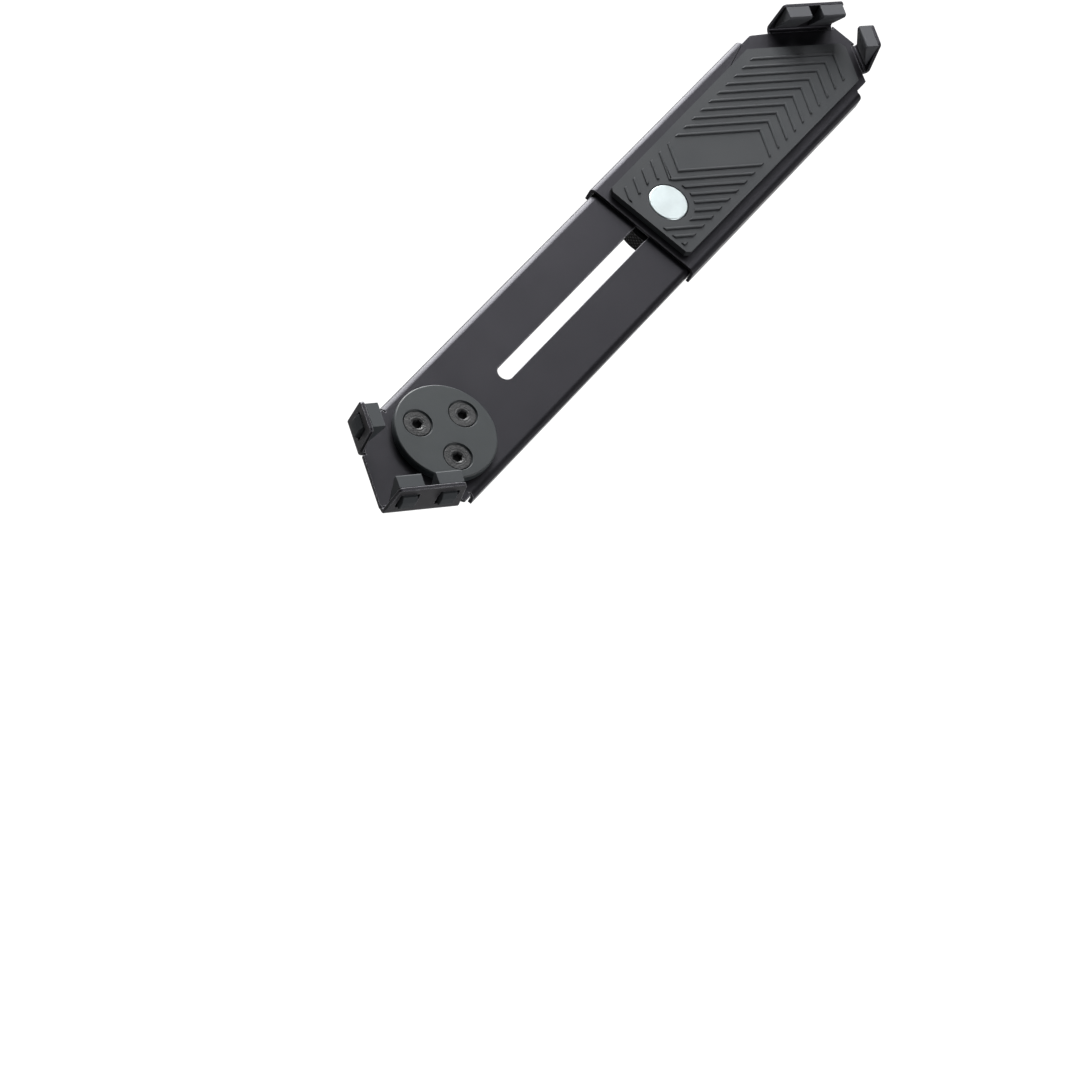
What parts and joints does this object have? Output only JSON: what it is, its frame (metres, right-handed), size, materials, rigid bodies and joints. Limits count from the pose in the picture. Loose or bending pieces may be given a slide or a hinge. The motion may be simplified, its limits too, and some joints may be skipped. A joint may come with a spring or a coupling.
{
  "type": "extending tablet holder arm",
  "caption": "Telescoping corner-grip holder arm for a tablet on a tripod head: slotted base channel, sliding sleeve with ribbed pad, folded clips with rubber wedges, clamp knob.",
  "frame": {"origin": "centre of the threaded socket's mouth, on the flat rear face of the boss that a tripod head screws to", "axes": "+X along the arm towards its sliding end, +Z square to the sheets towards the device that the arm holds, +Y across the arm to its left"},
  "size_m": [0.3669, 0.0614, 0.0332],
  "materials": {
    "black_powder_coat": "satin fine-textured powder coat on steel sheet",
    "grey_anodised": "matt dark grey, bead blasted and anodised",
    "black_anodised": "satin black anodised",
    "black_oxide_steel": "black oxide screws with turned faces",
    "bright_steel": "turned, bright",
    "zinc_steel": "zinc plated",
    "brass": "turned",
    "grip_rubber": "matt dark grey moulded rubber",
    "wedge_rubber": "matt dark grey moulded rubber",
    "knob_plastic": "black moulded, diamond knurled",
    "white_nylon": "natural nylon",
    "adhesive_film": "bonding film"
  },
  "bodies": {
    "base": {"base_channel": "black_powder_coat", "hub_disc": "grey_anodised", "hub_screws": "black_oxide_steel", "mount_boss": "black_anodised", "reducer_bush": "bright_steel", "lower_wedge_outer": "wedge_rubber", "lower_wedge_inner": "wedge_rubber", "lower_wedge_side": "wedge_rubber"},
    "sleeve": {"sleeve_channel": "black_powder_coat", "glide_strip_left": "white_nylon", "glide_strip_right": "white_nylon", "pad_adhesive": "adhesive_film", "grip_pad": "grip_rubber", "clamp_bolt": "bright_steel", "retaining_clip": "zinc_steel", "upper_wedge_outer": "wedge_rubber", "upper_wedge_inner": "wedge_rubber", "upper_wedge_side": "wedge_rubber"},
    "washers": {"nylon_washer": "white_nylon", "steel_washer": "zinc_steel"},
    "knob": {"clamp_knob": "knob_plastic", "knob_insert": "brass", "knob_cap": "knob_plastic"}
  },
  "joints": [
    {"name": "extension", "type": "slide", "parent": "base", "child": "sleeve", "axis": [1, 0, 0], "range_m": [-0.1245, 0.008]},
    {"name": "knob_travel", "type": "slide", "parent": "sleeve", "child": "washers", "axis": [0, 0, -1], "range_m": [0, 0.002]},
    {"name": "knob_turn", "type": "hinge", "parent": "washers", "child": "knob", "pos_m": [0.1712, 0, 0.006], "axis": [0, 0, -1], "range_deg": [0, 720]}
  ],
  "couplings": [
    {"joint": "knob_turn", "follows": "knob_travel", "rad_per_m": 6283.2}
  ]
}
